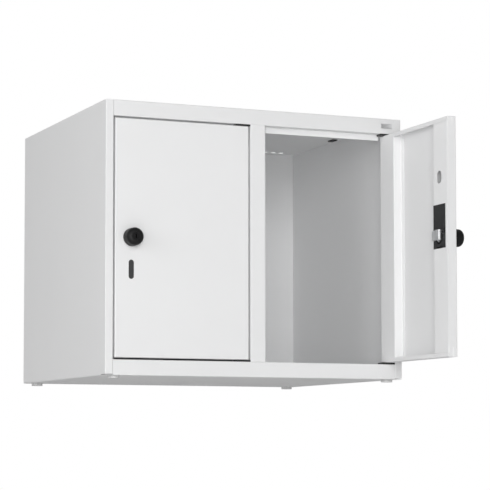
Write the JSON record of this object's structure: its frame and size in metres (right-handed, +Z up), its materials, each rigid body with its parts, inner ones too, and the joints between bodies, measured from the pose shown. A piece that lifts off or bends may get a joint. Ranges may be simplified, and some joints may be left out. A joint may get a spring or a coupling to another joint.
{
  "type": "locker cabinet",
  "caption": "Low steel locker cabinet with side-by-side compartments behind right-hung doors, each closed by a round key knob.",
  "frame": {"origin": "middle of the footprint on the plane that the feet stand on, which is the centre of the four stacking bolt holes", "axes": "+X to the right seen from the doors, +Y from the doors to the back, +Z up"},
  "size_m": [0.6095, 0.746, 0.505],
  "materials": {
    "painted_steel": "light grey powder coat, fine satin texture",
    "black_plastic": "semi-matt moulded",
    "key_plug": "black, satin",
    "zinc": "die-cast zinc, bright",
    "bare_steel": "zinc-plated steel",
    "foot_plastic": "light grey moulded",
    "badge_plate": "plain satin"
  },
  "bodies": {
    "carcass": {"back_panel": "painted_steel", "blank_badge": "badge_plate", "centre_partition": "painted_steel", "centre_post": "painted_steel", "floor_panel": "painted_steel", "foot_back_left": "foot_plastic", "foot_back_right": "foot_plastic", "foot_front_left": "foot_plastic", "foot_front_right": "foot_plastic", "left_ceiling_blank": "black_plastic", "left_hinge_bearing_lower": "black_plastic", "left_hinge_bearing_upper": "black_plastic", "left_side_panel": "painted_steel", "right_ceiling_blank": "black_plastic", "right_hinge_bearing_lower": "black_plastic", "right_hinge_bearing_upper": "black_plastic", "right_side_panel": "painted_steel", "top_panel": "painted_steel"},
    "left_door": {"left_door_shell": "painted_steel", "left_lock_stiffener": "painted_steel", "left_hinge_pin_upper": "bare_steel", "left_hinge_pin_lower": "bare_steel", "left_pin_plate_upper": "bare_steel", "left_pin_plate_lower": "bare_steel", "left_lock_case": "black_plastic", "left_lock_collar": "black_plastic", "left_slot_insert": "black_plastic"},
    "left_knob_set": {"left_knob": "black_plastic", "left_spindle": "black_plastic", "left_knob_screw": "bare_steel"},
    "left_key_cylinder": {"left_key_plug": "key_plug"},
    "left_bolt": {"left_latch_bolt": "zinc"},
    "right_door": {"right_door_shell": "painted_steel", "right_lock_stiffener": "painted_steel", "right_hinge_pin_upper": "bare_steel", "right_hinge_pin_lower": "bare_steel", "right_pin_plate_upper": "bare_steel", "right_pin_plate_lower": "bare_steel", "right_lock_case": "black_plastic", "right_lock_collar": "black_plastic", "right_slot_insert": "black_plastic"},
    "right_knob_set": {"right_knob": "black_plastic", "right_spindle": "black_plastic", "right_knob_screw": "bare_steel"},
    "right_key_cylinder": {"right_key_plug": "key_plug"},
    "right_bolt": {"right_latch_bolt": "zinc"}
  },
  "joints": [
    {"name": "left_door_hinge", "type": "hinge", "parent": "carcass", "child": "left_door", "pos_m": [-0.0265, -0.241, 0.25], "axis": [0, 0, 1], "range_deg": [0, 100]},
    {"name": "left_knob_turn", "type": "hinge", "parent": "left_door", "child": "left_knob_set", "pos_m": [-0.2505, -0.26, 0.25475], "axis": [0, 1, 0], "range_deg": [-90, 0]},
    {"name": "left_key_turn", "type": "hinge", "parent": "left_knob_set", "child": "left_key_cylinder", "pos_m": [-0.2505, -0.26, 0.25475], "axis": [0, 1, 0], "range_deg": [0, 90]},
    {"name": "left_bolt_slide", "type": "slide", "parent": "left_door", "child": "left_bolt", "axis": [1, 0, 0], "range_m": [-0.01605, 0]},
    {"name": "right_door_hinge", "type": "hinge", "parent": "carcass", "child": "right_door", "pos_m": [0.2735, -0.241, 0.25], "axis": [0, 0, 1], "range_deg": [-90, 10]},
    {"name": "right_knob_turn", "type": "hinge", "parent": "right_door", "child": "right_knob_set", "pos_m": [0.2925, -0.465, 0.25475], "axis": [-1, 0, 0], "range_deg": [-90, 0]},
    {"name": "right_key_turn", "type": "hinge", "parent": "right_knob_set", "child": "right_key_cylinder", "pos_m": [0.2925, -0.465, 0.25475], "axis": [-1, 0, 0], "range_deg": [0, 90]},
    {"name": "right_bolt_slide", "type": "slide", "parent": "right_door", "child": "right_bolt", "axis": [0, 1, 0], "range_m": [-0.01605, 0]}
  ],
  "couplings": [
    {"joint": "left_bolt_slide", "follows": "left_knob_turn", "m_per_rad": 0.0102},
    {"joint": "right_bolt_slide", "follows": "right_knob_turn", "m_per_rad": 0.0102}
  ]
}
